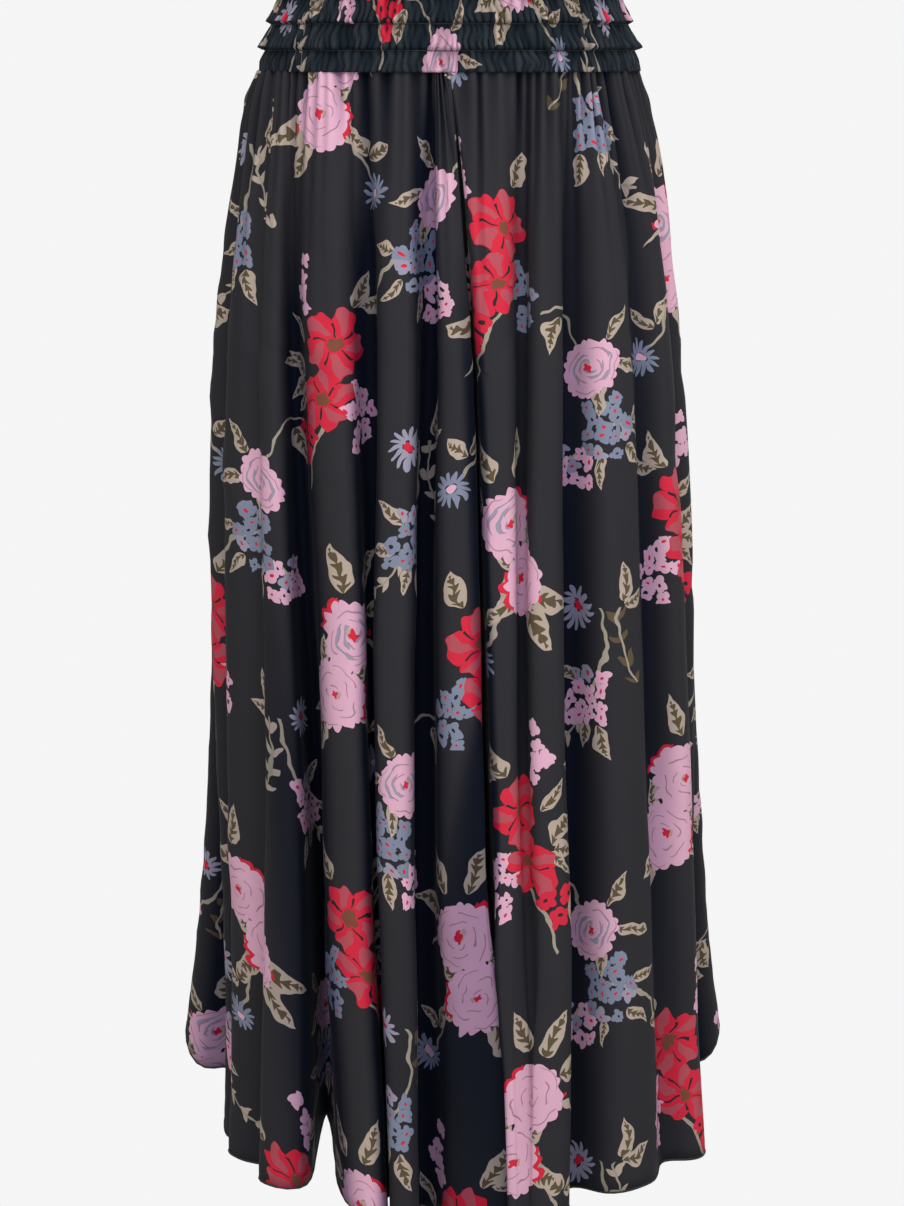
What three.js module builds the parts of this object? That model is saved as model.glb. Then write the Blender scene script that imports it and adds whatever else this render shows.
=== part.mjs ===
// Culottes: two long, wide, flared legs of thin woven cloth, gathered into an elastic waistband with four smocked
// puffs. They are worn but empty, so the cloth keeps the hollow form that it has on a general figure.
//
// Frame: millimetres, +Z up, the front faces -Y, and the wearer's left is +X. The origin is the middle of the
// waist opening, level with the waistband's top edge.
//
// Every cloth piece is a wall of even thickness. Its middle surface is a grid of rings: a ring runs round one half
// of the body, from the line where the legs part, past the folds, to the side seam, and back behind. Above the
// crotch the ring is open at the centre front and back; in the crotch curve it closes; below, it goes round a leg.
import * as THREE from "three";

// ---- driving sizes ----
const WALL = 2; // cloth thickness
const SEAM_GAP = 0.3; // between two neighbouring pieces
const BAND_HEIGHT = 81;
const LEG_LENGTH = 870; // waist seam to hem, at the side
const CROTCH_TOP_DROP = 112; // below the waist seam, where the crotch curve leaves the centre front
const CROTCH_DROP = 226; // below the waist seam, where the legs part
const HIP_DROP = 150; // where the fold tables give the hip
const KNEE_DROP = 430; // and the knee
const ROUNDNESS = 2.2; // superellipse exponent of the body's section: 2 is an ellipse, more is squarer
const SEAM_CLEFT = 0.1; // the cleft down the centre seam reaches this share of the way in at the crotch curve's top
const LEG_SPACE = 1.8; // from the line where the legs part to the middle of either leg's cloth
const CORNER = 9; // radius round which the cloth turns from the front or back into the inner leg

// The body's outline at each height below the waist seam: its reach to the right and to the left of the middle, its
// depths in front and behind, and the x of the line where the legs part, at the front and at the back.
const OUTLINE = [
  { drop: 0, right: 152, left: 149, front: 100, back: 108, partFront: 0, partBack: 0 },
  { drop: 24, right: 162, left: 157, front: 106, back: 116, partFront: 3, partBack: 1 },
  { drop: 72, right: 170, left: 168, front: 114, back: 128, partFront: 8, partBack: 2 },
  { drop: 145, right: 181, left: 177, front: 122, back: 138, partFront: 14, partBack: 3 },
  { drop: 226, right: 190, left: 186, front: 128, back: 146, partFront: 20, partBack: 4 },
  { drop: 390, right: 195, left: 197, front: 139, back: 158, partFront: 26, partBack: 4 },
  { drop: 634, right: 195, left: 203, front: 156, back: 180, partFront: 31, partBack: 2 },
  { drop: 759, right: 197, left: 205, front: 166, back: 196, partFront: 43, partBack: 0 },
  { drop: 870, right: 203, left: 212, front: 176, back: 212, partFront: 49, partBack: 0 },
];

// The valleys between the folds, from the parting line round to the side seam. Those that show from the front or
// the back are placed by their x at the waist seam, the hip, the knee and the hem; the rest by a share of the way left
// to the side seam, which is the last. Each has a depth at the hip, the knee and the hem. The ridge before each valley
// has a rise at the hem, and stands off the middle of its fold by a share of its width. The one with open stands
// open at the hem.
const FOLDS = {
  front_right: [
    { seam: -13, hip: -12, knee: -15, hem: -20, hipDepth: 26, kneeDepth: 38, hemDepth: 46, rise: -12, lean: -0.1 },
    { seam: -66, hip: -65, knee: -64, hem: -52, hipDepth: 24, kneeDepth: 36, hemDepth: 48, rise: 2, lean: 0.1 },
    { seam: -120, hip: -129, knee: -119, hem: -116, hipDepth: 24, kneeDepth: 38, hemDepth: 96, rise: 0, lean: -0.1, open: 1 },
    { seam: -139, hip: -149, knee: -156, hem: -170, hipDepth: 5, kneeDepth: 13, hemDepth: 34, rise: 0, lean: -0.08 },
    { share: 0.54, hipDepth: 12, kneeDepth: 18, hemDepth: 30, rise: -6, lean: 0 },
    { share: 1, hipDepth: 10, kneeDepth: 18, hemDepth: 28, rise: -14, lean: 0 },
  ],
  front_left: [
    { seam: 56, hip: 58, knee: 58, hem: 66, hipDepth: 22, kneeDepth: 30, hemDepth: 10, rise: 0, lean: -0.04 },
    { seam: 92, hip: 94, knee: 96, hem: 98, hipDepth: 22, kneeDepth: 32, hemDepth: 50, rise: 2, lean: 0 },
    { seam: 122, hip: 155, knee: 167, hem: 189, hipDepth: 14, kneeDepth: 22, hemDepth: 34, rise: -2, lean: 0 },
    { share: 0.56, hipDepth: 14, kneeDepth: 20, hemDepth: 30, rise: 8, lean: 0 },
    { share: 1, hipDepth: 10, kneeDepth: 16, hemDepth: 26, rise: -8, lean: 0 },
  ],
  back_right: [
    { seam: -32, hip: -28, knee: -24, hem: -26, hipDepth: 18, kneeDepth: 28, hemDepth: 52, rise: 0, lean: 0.04 },
    { seam: -76, hip: -76, knee: -76, hem: -80, hipDepth: 20, kneeDepth: 34, hemDepth: 64, rise: 4, lean: -0.06 },
    { seam: -118, hip: -124, knee: -132, hem: -140, hipDepth: 16, kneeDepth: 26, hemDepth: 50, rise: 4, lean: 0.05 },
    { share: 0.56, hipDepth: 18, kneeDepth: 30, hemDepth: 54, rise: 22, lean: 0.04 },
    { share: 1, hipDepth: 10, kneeDepth: 16, hemDepth: 28, rise: 22, lean: 0 },
  ],
  back_left: [
    { seam: 30, hip: 36, knee: 44, hem: 50, hipDepth: 20, kneeDepth: 34, hemDepth: 58, rise: 2, lean: -0.04 },
    { seam: 68, hip: 78, knee: 88, hem: 94, hipDepth: 16, kneeDepth: 26, hemDepth: 46, rise: -6, lean: 0.06 },
    { seam: 112, hip: 124, knee: 134, hem: 144, hipDepth: 20, kneeDepth: 34, hemDepth: 56, rise: 6, lean: -0.03 },
    { share: 0.54, hipDepth: 16, kneeDepth: 26, hemDepth: 50, rise: 18, lean: -0.02 },
    { share: 1, hipDepth: 10, kneeDepth: 16, hemDepth: 26, rise: 18, lean: 0 },
  ],
};
const FLAT_TOP = 1.7; // above 1 it draws each fold's steep part towards its valley, so that the ridge is broad
const STEEPEST = 1.95; // the most that a fold's side may turn, in radians
const OPEN_STEEPEST = 1.45; // the same in the open valley, at the hem
const RADIAL = 0.6; // 0 sets each fold square to the body's outline, more turns it towards straight ahead or aside
const INSEAM_DEPTH = 12; // at the hem, of the valley down each inner leg seam
const SEAM_DEPTH = 4; // of every valley at the waist seam
const GATHER_DEPTH = 2.4; // of the small gathers at the waist seam, one to every second point of a fold
const GATHER_FADE = 48; // how far down they die away
const FRONT_HANG = 36; // extra length at the centre front
const BACK_LIFT = 78; // the hem is this much higher behind the side seams
const BACK_LIFT_FROM = -34; // the depth at which it starts to rise
const BACK_LIFT_TO = 46; // and the one at which it is full
const POINTS_PER_FOLD = 10;

// ---- the smocked waistband ----
// The band's rows of elastic and the puffs between them, by drop and by how far out they stand: each puff swells
// towards its foot and tucks in under the elastic. The last one is smooth and ends in the waist seam.
const BAND_ROWS = [
  { drop: 0, out: 0.6 },
  { drop: 3, out: 2.2 },
  { drop: 5, out: 0 },
  { drop: 13, out: 2.8 },
  { drop: 21, out: 4.5 },
  { drop: 25, out: 0 },
  { drop: 33, out: 3 },
  { drop: 41, out: 5 },
  { drop: 45, out: 0 },
  { drop: 53, out: 3.6 },
  { drop: 61, out: 6 },
  { drop: 65, out: 0 },
  { drop: 73, out: 1.8 },
  { drop: BAND_HEIGHT, out: 0 },
];
const BAND_OUTLINE = [
  { drop: 0, half: 130, front: 88, back: 90 },
  { drop: 25, half: 133.5, front: 90, back: 93 },
  { drop: 45, half: 138, front: 93, back: 98 },
  { drop: 65, half: 143, front: 96, back: 103 },
  { drop: BAND_HEIGHT, half: 148, front: 100, back: 108 },
];
const BAND_GATHERS = 22; // on each half, front or back
const BAND_GATHER_DEPTH = 2;

const CLOTH = new THREE.MeshStandardMaterial({ color: 0x26262b, roughness: 0.78, metalness: 0 });
const BAND_CLOTH = new THREE.MeshStandardMaterial({ color: 0x22262c, roughness: 0.82, metalness: 0 });

// ---- small helpers ----
const lerp = THREE.MathUtils.lerp;
const clamp = THREE.MathUtils.clamp;
const signedPower = (value, power) => Math.sign(value) * Math.abs(value) ** power;

// A column of a table at any drop, by a cubic through its rows whose slopes never overshoot.
function column(rows, name, drop) {
  const last = rows.length - 1;
  const at = clamp(drop, rows[0].drop, rows[last].drop);
  const k = clamp(rows.findIndex((row) => row.drop > at) - 1, 0, last - 1);
  const i = at >= rows[last].drop ? last - 1 : k;
  const rate = (n) => (rows[n + 1][name] - rows[n][name]) / (rows[n + 1].drop - rows[n].drop);
  const slope = (n) => {
    if (n === 0) return rate(0);
    if (n === last) return rate(last - 1);
    const [before, after] = [rate(n - 1), rate(n)];
    return before * after <= 0 ? 0 : (2 * before * after) / (before + after);
  };
  const span = rows[i + 1].drop - rows[i].drop;
  const t = (at - rows[i].drop) / span;
  const [t2, t3] = [t * t, t * t * t];
  return (
    rows[i][name] * (2 * t3 - 3 * t2 + 1) +
    slope(i) * span * (t3 - 2 * t2 + t) +
    rows[i + 1][name] * (3 * t2 - 2 * t3) +
    slope(i + 1) * span * (t3 - t2)
  );
}

// How far in from the front or back the parting line's edge lies, as a share of the way to the middle. It is a
// shallow cleft down the centre seam, then the quarter ellipse of the crotch curve, and 1 where the legs have parted.
function closing(drop) {
  const cleft = SEAM_CLEFT * clamp(drop / CROTCH_TOP_DROP, 0, 1);
  const along = clamp((drop - CROTCH_TOP_DROP) / (CROTCH_DROP - CROTCH_TOP_DROP), 0, 1);
  return 1 - (1 - cleft) * Math.sqrt(1 - along * along);
}

// The x of the plane where the legs part, at one height and depth.
function partingAt(y, drop) {
  const value = (name) => column(OUTLINE, name, drop);
  return lerp(value("partFront"), value("partBack"), (y + value("front")) / (value("front") + value("back")));
}

// ---- the legs' middle surface ----
// One panel's unfolded ring at one height, as even steps along it: from the crotch curve or inner leg seam, forward
// (or back) through the cleft between the legs, round a corner, and along the body's outline to the side seam.
function ringPath(side, facing, drop) {
  const value = (name) => column(OUTLINE, name, drop);
  const depth = value(facing < 0 ? "front" : "back");
  const wall = depth * closing(drop);
  const inner = partingAt(facing * depth, drop) + side * LEG_SPACE;
  const cleft = [0, 0.25, 0.5, 0.75].map((t) => {
    const y = facing * (depth - wall * (1 - t));
    return new THREE.Vector2(partingAt(y, drop) + side * LEG_SPACE, y);
  });
  const reach = value(side > 0 ? "left" : "right");
  const outline = Array.from({ length: 49 }, (_, k) => {
    const angle = (k / 48) * (Math.PI / 2);
    const x = inner + (side * reach - inner) * signedPower(Math.sin(angle), 2 / ROUNDNESS);
    return new THREE.Vector2(x, facing * depth * signedPower(Math.cos(angle), 2 / ROUNDNESS));
  });
  const points = wall > 0 ? [...cleft, ...outline] : outline;
  const lengths = [0];
  points.slice(1).forEach((point, k) => lengths.push(lengths[k] + point.distanceTo(points[k])));
  return { points, lengths, length: lengths.at(-1), wall, side, facing, radius: Math.min(CORNER, wall / 2) };
}

// A point of the path at a distance along it; past either end it is mirrored through that end.
function alongPath(path, distance) {
  const { points, lengths, length } = path;
  if (distance < 0) return points[0].clone().multiplyScalar(2).sub(alongPath(path, -distance));
  if (distance > length) return points.at(-1).clone().multiplyScalar(2).sub(alongPath(path, 2 * length - distance));
  const k = Math.max(lengths.findIndex((value) => value >= distance), 1);
  return points[k - 1].clone().lerp(points[k], (distance - lengths[k - 1]) / (lengths[k] - lengths[k - 1]));
}

// The same with its corner rounded, as a mean over the corner's radius each way.
function roundedPath(path, distance) {
  const steps = [-1, -0.75, -0.5, -0.25, 0, 0.25, 0.5, 0.75, 1];
  const sum = new THREE.Vector2();
  steps.forEach((step) => sum.add(alongPath(path, distance + step * path.radius)));
  return sum.divideScalar(steps.length);
}

// The outward direction of the ring, square to it; at the seams the two panels that meet there agree on it.
function outward(path, distance) {
  if (distance === path.length) return new THREE.Vector2(path.side, 0);
  if (distance === 0) return path.wall > 0 ? new THREE.Vector2(-path.side, 0) : new THREE.Vector2(0, path.facing);
  const tangent = roundedPath(path, distance + 2).sub(roundedPath(path, distance - 2)).normalize();
  const turn = path.side * path.facing;
  const square = new THREE.Vector2(-tangent.y * turn, tangent.x * turn);
  return new THREE.Vector2(signedPower(square.x, 1 + RADIAL), signedPower(square.y, 1 + RADIAL)).normalize();
}

// The distance along the path at which the body's outline reaches an x.
function distanceAt(path, x) {
  const { points, lengths, side } = path;
  const k = points.findIndex((point) => side * (point.x - x) >= 0 && side * (point.x - points[0].x) > 0);
  const share = (x - points[k - 1].x) / (points[k].x - points[k - 1].x);
  return lerp(lengths[k - 1], lengths[k], share);
}

// Half of one fold, from the foot of its valley to its ridge: thin cloth bends so that its slope rises and falls as
// half a sine wave along it, drawn towards the valley. Points lie at even lengths of cloth; across and up both run
// from 0 to 1.
function halfWave(depth, width, openness) {
  const flatTop = lerp(FLAT_TOP, 1, openness);
  const sweep = (steepest, share) => {
    const steps = 32;
    const sum = new THREE.Vector2();
    for (let k = 0; k < steps; k++) {
      const slope = steepest * Math.sin(Math.PI * (1 - (1 - (share * (k + 0.5)) / steps) ** flatTop));
      sum.add(new THREE.Vector2(Math.cos(slope), Math.sin(slope)));
    }
    return sum.multiplyScalar(share / steps);
  };
  let [gentle, steep] = [0, lerp(STEEPEST, OPEN_STEEPEST, openness)];
  for (let k = 0; k < 24; k++) {
    const middle = (gentle + steep) / 2;
    const whole = sweep(middle, 1);
    if (whole.y * width < depth * whole.x) gentle = middle;
    else steep = middle;
  }
  const whole = sweep(gentle, 1);
  return (share) => {
    const part = sweep(gentle, share);
    return { across: part.x / whole.x, up: whole.y > 0 ? part.y / whole.y : share };
  };
}

// The valleys and ridges of one panel at one height, from its inner edge to its side seam, by their distances along
// the ring and how far out they stand.
function foldMarks(path, folds, drop) {
  const atHeights = (seam, hip, knee, hem) => {
    const rows = [
      { drop: 0, value: seam },
      { drop: HIP_DROP, value: hip },
      { drop: KNEE_DROP, value: knee },
      { drop: LEG_LENGTH, value: hem },
    ];
    return column(rows, "value", drop);
  };
  const parted = clamp((drop - CROTCH_DROP) / (LEG_LENGTH - CROTCH_DROP), 0, 1);
  const marks = [{ at: 0, out: -INSEAM_DEPTH * parted }];
  folds.forEach((fold, k) => {
    const before = marks.at(-1);
    const at =
      fold.share === undefined
        ? distanceAt(path, atHeights(fold.seam, fold.hip, fold.knee, fold.hem))
        : lerp(before.at, path.length, fold.share);
    const middle = lerp(before.at, at, 0.5 + fold.lean * clamp(drop / KNEE_DROP, 0, 1));
    const ridge = k === 0 ? Math.max(middle, lerp(path.wall, at, 0.4)) : middle;
    marks.push({ at: ridge, out: atHeights(0, 0, fold.rise * 0.1, fold.rise) });
    marks.push({ at, out: -atHeights(SEAM_DEPTH, fold.hipDepth, fold.kneeDepth, fold.hemDepth) });
  });
  return marks;
}

// One row of a panel's middle surface.
function panelRow(side, facing, folds, drop) {
  const path = ringPath(side, facing, drop);
  const marks = foldMarks(path, folds, drop);
  const half = POINTS_PER_FOLD / 2;
  const gather = GATHER_DEPTH * Math.exp(-drop / GATHER_FADE);
  const row = [];
  for (let k = 0; k < marks.length - 1; k++) {
    const [a, b] = [marks[k], marks[k + 1]];
    const openness = (folds[Math.floor((k - 1) / 2)]?.open ?? 0) * (drop / LEG_LENGTH) ** 2;
    const wave = halfWave(Math.abs(b.out - a.out), b.at - a.at, openness);
    const count = k === marks.length - 2 ? half + 1 : half;
    for (let n = 0; n < count; n++) {
      const share = k === 0 ? lerp(n / half, 1 - (1 - n / half) ** 2.2, closing(drop)) : n / half;
      const { across, up } = wave(share);
      const at = lerp(a.at, b.at, across);
      const pushed = lerp(a.out, b.out, up) - (row.length % 2) * gather;
      const point = roundedPath(path, at).addScaledVector(outward(path, at), pushed);
      row.push(new THREE.Vector3(point.x, point.y, legHeight(point, drop)));
    }
  }
  if (closing(drop) < 1) {
    const offset = lerp(SEAM_GAP / 2, (WALL + SEAM_GAP) / 2, clamp(path.wall / CORNER, 0, 1));
    row[0].x = partingAt(row[0].y, drop) + side * offset;
  }
  return row;
}

// The height of a point of a leg: the hem hangs a little lower at the centre front and higher at the back.
function legHeight(point, drop) {
  const value = (name) => column(OUTLINE, name, drop);
  const middle = Math.cos((Math.PI / 2) * clamp(point.x / value("right"), -1, 1)) ** 4;
  const hang = FRONT_HANG * middle * clamp(-point.y / value("front"), 0, 1);
  const lift = BACK_LIFT * THREE.MathUtils.smoothstep(point.y, BACK_LIFT_FROM, BACK_LIFT_TO);
  return -BAND_HEIGHT - SEAM_GAP - drop + (lift - hang) * (drop / LEG_LENGTH) ** 2;
}

// The rings' heights: close together at the gathers and in the crotch curve, and wide apart down the leg.
function legDrops() {
  const curve = [0, 0.42, 0.72, 0.91, 1].map((step) => lerp(CROTCH_TOP_DROP, CROTCH_DROP, step));
  return [0, 16, 40, 74, ...curve, 300, 400, 520, 640, 760, LEG_LENGTH];
}

// ---- from a middle surface to a closed wall ----
// The outward normals of the two panels of one half, worked out together so that they agree at the shared seams.
function halfNormals(frontRows, backRows, side) {
  const ring = (j) => [...frontRows[j], ...backRows[j].slice(0, -1).reverse()];
  const rings = frontRows.map((_, j) => ring(j));
  const parted = (j) => closing(legDrops()[j]) >= 1;
  const last = rings[0].length - 1;
  const normals = rings.map((points, j) =>
    points.map((_, i) => {
      const edge = i === 0 || i === last;
      const above = rings[Math.max(j - (edge && parted(j) && !parted(j - 1) ? 0 : 1), 0)];
      const below = rings[Math.min(j + 1, rings.length - 1)];
      const down = below[i].clone().sub(above[i]);
      const next = edge && parted(j) ? points[1] : points[Math.min(i + 1, last)];
      const previous = edge && parted(j) ? points[last - 1] : points[Math.max(i - 1, 0)];
      const round = next.clone().sub(previous);
      if (edge && j === 0) round.set(i === 0 ? side : -side, 0, 0);
      const normal = round.cross(down).multiplyScalar(-side).normalize();
      if (j === 0 || j === rings.length - 1) normal.setZ(0).normalize();
      return normal;
    }),
  );
  const width = frontRows[0].length;
  return {
    front: normals.map((row) => row.slice(0, width)),
    back: normals.map((row) => row.slice(width - 1).reverse()),
  };
}

// Draws a panel's two upright edges in by half a seam gap, along its own rows.
function drawInEdges(rows, side) {
  const last = rows[0].length - 1;
  const pull = (point, towards) => point.add(towards.clone().sub(point).setLength(SEAM_GAP / 2));
  rows.forEach((row, j) => {
    pull(row[last], row[last - 1]);
    if (closing(legDrops()[j]) >= 1) pull(row[0], row[1]);
  });
  return rows;
}

// A closed wall from rows of outer and inner points: both faces, and a rim round all four edges.
function wallGeometry(outer, inner, flip) {
  const [height, width] = [outer.length, outer[0].length];
  const positions = [...outer, ...inner].flat().flatMap((p) => [p.x, p.y, p.z]);
  const at = (layer, j, i) => (layer * height + j) * width + i;
  const triangles = [];
  const quad = (a, b, c, d) => triangles.push(...(flip ? [a, c, b, a, d, c] : [a, b, c, a, c, d]));
  for (let j = 0; j < height - 1; j++) {
    for (let i = 0; i < width - 1; i++) {
      quad(at(0, j, i), at(0, j + 1, i), at(0, j + 1, i + 1), at(0, j, i + 1));
      quad(at(1, j, i), at(1, j, i + 1), at(1, j + 1, i + 1), at(1, j + 1, i));
    }
    quad(at(0, j, 0), at(1, j, 0), at(1, j + 1, 0), at(0, j + 1, 0));
    quad(at(0, j, width - 1), at(0, j + 1, width - 1), at(1, j + 1, width - 1), at(1, j, width - 1));
  }
  for (let i = 0; i < width - 1; i++) {
    quad(at(0, 0, i), at(0, 0, i + 1), at(1, 0, i + 1), at(1, 0, i));
    quad(at(0, height - 1, i), at(1, height - 1, i), at(1, height - 1, i + 1), at(0, height - 1, i + 1));
  }
  const geometry = new THREE.BufferGeometry();
  geometry.setAttribute("position", new THREE.Float32BufferAttribute(positions, 3));
  geometry.setIndex(triangles);
  geometry.computeVertexNormals();
  return geometry;
}

// Moves every point along its normal; a leg's wall never crosses the plane where the legs part.
function offsetRows(rows, normals, distance, side) {
  return rows.map((row, j) => {
    return row.map((point, i) => {
      const moved = point.clone().addScaledVector(normals[j][i], distance);
      const clear = partingAt(moved.y, legDrops()[j]) + (side * SEAM_GAP) / 2;
      moved.x = side > 0 ? Math.max(moved.x, clear) : Math.min(moved.x, clear);
      return moved;
    });
  });
}

function legPanels(halfName) {
  const side = halfName === "left" ? 1 : -1;
  const panelRows = (facing, name) =>
    legDrops().map((drop) => panelRow(side, facing, FOLDS[name + "_" + halfName], drop));
  const rows = { front: panelRows(-1, "front"), back: panelRows(1, "back") };
  const normals = halfNormals(rows.front, rows.back, side);
  return ["front", "back"].map((face) => {
    const middle = drawInEdges(rows[face], side);
    const outer = offsetRows(middle, normals[face], WALL / 2, side);
    const inner = offsetRows(middle, normals[face], -WALL / 2, side);
    const flip = (face === "front") === side < 0;
    const mesh = new THREE.Mesh(wallGeometry(outer, inner, flip), CLOTH);
    mesh.name = face + "_leg_" + halfName;
    return mesh;
  });
}

// ---- the waistband ----
// The band's ring at one drop: a point and its outward direction, at an angle from the wearer's right side (0) over
// the front or the back to the left side (half a turn).
function bandPoint(drop, facing, angle, out) {
  const value = (name) => column(BAND_OUTLINE, name, drop);
  const depth = value(facing < 0 ? "front" : "back");
  const x = -value("half") * signedPower(Math.cos(angle), 2 / ROUNDNESS);
  const y = facing * depth * signedPower(Math.sin(angle), 2 / ROUNDNESS);
  const direction = new THREE.Vector2(x / value("half") ** 2, y / depth ** 2).normalize();
  return new THREE.Vector3(x + direction.x * out, y + direction.y * out, -drop);
}

function bandPanel(face) {
  const facing = face === "front" ? -1 : 1;
  const steps = 2 * BAND_GATHERS;
  const row = (drop, out, gather) =>
    Array.from({ length: steps + 1 }, (_, k) => {
      const valley = k % 2 === 0;
      const point = bandPoint(drop, facing, (Math.PI * k) / steps, out - (valley ? gather : 0));
      if (k === 0 || k === steps) point.y += (facing * SEAM_GAP) / 2;
      return point;
    });
  const outerFace = WALL / 2 + BAND_GATHER_DEPTH / 2;
  const outer = BAND_ROWS.map(({ drop, out }) => row(drop, outerFace + out, BAND_GATHER_DEPTH));
  const inner = BAND_ROWS.map(({ drop }) => row(drop, -WALL / 2, 0));
  const mesh = new THREE.Mesh(wallGeometry(outer, inner, facing > 0), BAND_CLOTH);
  mesh.name = "waistband_" + face;
  return mesh;
}

const culottes = new THREE.Group();
culottes.add(bandPanel("front"), bandPanel("back"));
culottes.add(...legPanels("right"), ...legPanels("left"));

export default culottes;
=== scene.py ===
"""Culottes in thin dark crepe printed with flowers: two flared legs gathered into a shirred waistband.

Each leg panel and each half of the waistband is a thin shell on the form of its solid. The sewing on them
is the rolled hem, the rows of elastic, and the legs' edge tucked up inside the band. Sizes are in
millimetres in the tables and in metres in the scene.
"""

import math

import bpy
import numpy as np
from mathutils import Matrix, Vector


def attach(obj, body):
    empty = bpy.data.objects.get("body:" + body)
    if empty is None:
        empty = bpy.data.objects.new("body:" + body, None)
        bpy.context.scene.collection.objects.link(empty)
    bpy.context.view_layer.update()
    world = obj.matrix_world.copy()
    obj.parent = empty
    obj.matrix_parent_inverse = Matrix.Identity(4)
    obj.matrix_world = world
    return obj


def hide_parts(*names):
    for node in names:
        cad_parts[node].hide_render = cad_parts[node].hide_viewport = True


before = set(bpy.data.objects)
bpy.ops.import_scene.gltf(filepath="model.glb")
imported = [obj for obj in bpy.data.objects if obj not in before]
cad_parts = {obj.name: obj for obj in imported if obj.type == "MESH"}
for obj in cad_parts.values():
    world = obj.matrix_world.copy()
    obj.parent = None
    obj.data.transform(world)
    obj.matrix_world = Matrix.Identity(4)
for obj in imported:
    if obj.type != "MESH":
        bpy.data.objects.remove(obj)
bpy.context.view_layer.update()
MM = 0.001

# ---- the cut and the fall of the cloth ----
BAND_HEIGHT = 81
SEAM_GAP = 0.3
LEG_LENGTH = 870
HIP_DROP = 150
KNEE_DROP = 430
CROTCH_TOP_DROP = 112
CROTCH_DROP = 226
ROUNDNESS = 2.2  # the power of the body's superellipse
SEAM_CLEFT = 0.1  # a share of the body's depth
LEG_SPACE = 1.8
CORNER = 9  # the radius round which the cloth turns into the inner leg
RADIAL = 0.6  # how far the folds turn towards straight ahead or aside
INSEAM_DEPTH = 12
FRONT_HANG = 36
BACK_LIFT = 78
BACK_LIFT_FROM = -34
BACK_LIFT_TO = 46
CLOTH_THICKNESS = 0.9

# How a half fold bends: the power that makes its ridge broad, its steepest slope in radians, the power
# that squares it off, and how much of the first a wide valley takes away.
FLAT_TOP = 1.7
OPEN_FLAT_TOP = 1.3
STEEPEST = 1.95
OPEN_STEEPEST = 1.5
OPEN_SQUARED = 0.5
WIDENING = 0.8

# The folds' depth at the waist seam, their sway and the drop by which it is full, and how much of its
# rise a ridge has at the knee.
SEAM_DEPTH = 4
SWAY = 1.6
SWAY_LENGTHS = (118, 83)
HOLD_DROP = 120
KNEE_RISE = 0.1
FIRST_RIDGE = 0.4
CLEFT_CROWDING = 2.2

# The small gathers: their least and greatest width in folds, depth, and drop at which they fade.
GATHER_WIDTH = (0.1, 0.34)
GATHER_DEPTH = (1.8, 7.6)
GATHER_FADE = (30, 120)
GATHER_FALL = 1.4
GATHER_ROWS = 60

# The open valley's foot swings aside and lifts, and shade is painted on the cloth beside it.
OPEN_DEPTH = 96
OPEN_SWING = 28
OPEN_LIFT = 34
OPEN_SHADE = 0.75
OPEN_SHADE_REACH = 31
OPEN_SHADE_FROM = 330
OPEN_SHADE_OVER = 220

# The shade painted into the colour of the recesses, of the small gathers and of the cleft between the legs.
SHADE_TOP_DROP = 90
SHADE_FROM = 1.6
SHADE_SPREAD = 0.34
SHADE_MARGIN = 5
GATHER_SHADE_DEPTH = 7
PARTING_SHADE = 1.4
CLEFT_DARK = dict(drop=(120, 230, 750, LEG_LENGTH), dark=(0, 1, 0.9, 0.74))
CLEFT_REACH = 3.5
PARTING_REACH = dict(drop=(480, 640, 750), reach=(9, 55, 75))

# The lap of the left leg over the right: for each leg how far its cloth leans, from how far behind the
# front, and within how far.
LAP_FROM = 560
LAP_OVER = 190
LAP_NEAR = 24
LAPS = {"left": (-14, 8, 5), "right": (9, 60, 40)}

# The rows turned up inside the band: a share of the way to its inner side, and a height over the seam.
TUCK_ROWS = ((1, 9), (0.7, 2.5))
TUCK_INSET = 0.6

# The body at drops from the waist seam: how far it reaches to each side, to the front and to the back, and
# the x at which the legs part.
OUTLINE = dict(
    drop=(0, 24, 72, 145, 226, 390, 634, 759, 870),
    right=(152, 162, 170, 181, 190, 195, 195, 197, 203),
    left=(149, 157, 168, 177, 186, 197, 203, 205, 212),
    front=(100, 106, 114, 122, 128, 139, 156, 166, 176),
    back=(108, 116, 128, 138, 146, 158, 180, 196, 212),
    part_front=(0, 3, 8, 14, 20, 26, 36, 52, 55),
    part_back=(0, 1, 2, 3, 4, 4, 2, 0, 0),
)
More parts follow.
